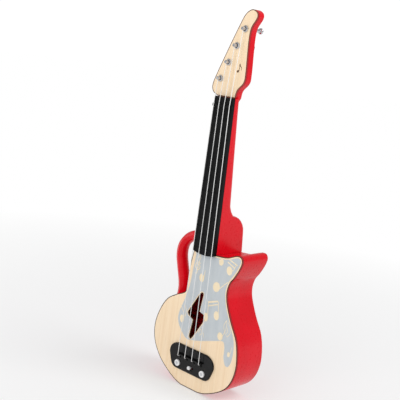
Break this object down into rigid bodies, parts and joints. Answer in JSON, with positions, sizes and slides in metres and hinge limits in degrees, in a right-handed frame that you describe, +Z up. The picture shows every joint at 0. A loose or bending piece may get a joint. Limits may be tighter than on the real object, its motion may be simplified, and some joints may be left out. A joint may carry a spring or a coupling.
{
  "type": "toy electric guitar",
  "caption": "Small toy guitar with strings, tuning pegs, wooden face, red plastic body, carry handle, push buttons, power slider, speaker and battery bay.",
  "frame": {"origin": "middle of the surface that the guitar stands on, under its lowest point", "axes": "+Z up along the neck, +X to the right as seen from the front, -Y out of the strings and the wooden face"},
  "size_m": [0.1712, 0.069, 0.5664],
  "materials": {
    "red_plastic": "glossy moulded ABS",
    "birch_plywood": "thin lacquered birch plywood with laser-cut edges and a grey print",
    "black_plastic": "glossy black moulded plastic",
    "chrome": "bright chrome plating",
    "steel": "zinc plated",
    "white_plastic": "glossy white plastic",
    "string_nylon": "smooth clear-white nylon",
    "grey_plastic": "plain moulded",
    "circuit_board": "solder mask",
    "battery_sleeve": "printed film without text"
  },
  "bodies": {
    "body": {"neck_shell": "red_plastic", "fretboard": "black_plastic", "nut": "black_plastic", "headstock_face": "birch_plywood", "body_shell": "red_plastic", "face_plate": "birch_plywood", "front_frame": "grey_plastic", "carry_handle": "red_plastic", "handle_screw_upper": "steel", "handle_screw_lower": "steel", "neck_screw_left": "steel", "neck_screw_right": "steel", "control_panel": "black_plastic", "saddle": "black_plastic", "switch_left": "grey_plastic", "switch_right": "grey_plastic", "slide_switch": "grey_plastic", "circuit_board": "circuit_board", "board_screw_left": "steel", "board_screw_right": "steel", "speaker_frame": "grey_plastic", "speaker_cone": "black_plastic", "speaker_magnet": "steel", "contact_left": "steel", "contact_right": "steel", "speaker_wire": "black_plastic", "battery_wire": "black_plastic", "tuner_bushing_1": "chrome", "string_pin_1": "black_plastic", "string_1": "string_nylon", "tuner_bushing_2": "chrome", "string_pin_2": "black_plastic", "string_2": "string_nylon", "tuner_bushing_3": "chrome", "string_pin_3": "black_plastic", "string_3": "string_nylon", "tuner_bushing_4": "chrome", "string_pin_4": "black_plastic", "string_4": "string_nylon", "body_screw_1": "steel", "body_screw_2": "steel", "body_screw_3": "steel", "body_screw_4": "steel", "body_screw_5": "steel", "battery_1": "battery_sleeve", "battery_2": "battery_sleeve", "battery_3": "battery_sleeve"},
    "tuner_1": {"tuner_post_1": "chrome", "tuner_knob_1": "chrome"},
    "tuner_2": {"tuner_post_2": "chrome", "tuner_knob_2": "chrome"},
    "tuner_3": {"tuner_post_3": "chrome", "tuner_knob_3": "chrome"},
    "tuner_4": {"tuner_post_4": "chrome", "tuner_knob_4": "chrome"},
    "button_left": {"button_left": "white_plastic"},
    "button_right": {"button_right": "white_plastic"},
    "power_slider": {"power_slider": "white_plastic"},
    "battery_door": {"battery_door": "red_plastic", "door_screw": "steel"}
  },
  "joints": [
    {"name": "tuner_turn_1", "type": "hinge", "parent": "body", "child": "tuner_1", "pos_m": [-0.0162, 0, 0.4668], "axis": [0, 1, 0], "continuous": true},
    {"name": "tuner_turn_2", "type": "hinge", "parent": "body", "child": "tuner_2", "pos_m": [-0.0048, 0, 0.4909], "axis": [0, 1, 0], "continuous": true},
    {"name": "tuner_turn_3", "type": "hinge", "parent": "body", "child": "tuner_3", "pos_m": [0.0066, 0, 0.515], "axis": [0, 1, 0], "continuous": true},
    {"name": "tuner_turn_4", "type": "hinge", "parent": "body", "child": "tuner_4", "pos_m": [0.018, 0, 0.5391], "axis": [0, 1, 0], "continuous": true},
    {"name": "button_left_press", "type": "slide", "parent": "body", "child": "button_left", "axis": [0, 1, 0], "range_m": [0, 0.0012], "stiffness_N_per_m": 1000, "springref_m": -0.0004},
    {"name": "button_right_press", "type": "slide", "parent": "body", "child": "button_right", "axis": [0, 1, 0], "range_m": [0, 0.0012], "stiffness_N_per_m": 1000, "springref_m": -0.0004},
    {"name": "power_slide", "type": "slide", "parent": "body", "child": "power_slider", "axis": [1, 0, 0], "range_m": [0, 0.005]},
    {"name": "battery_door_lift", "type": "slide", "parent": "body", "child": "battery_door", "axis": [0, 1, 0], "range_m": [0, 0.03]}
  ]
}
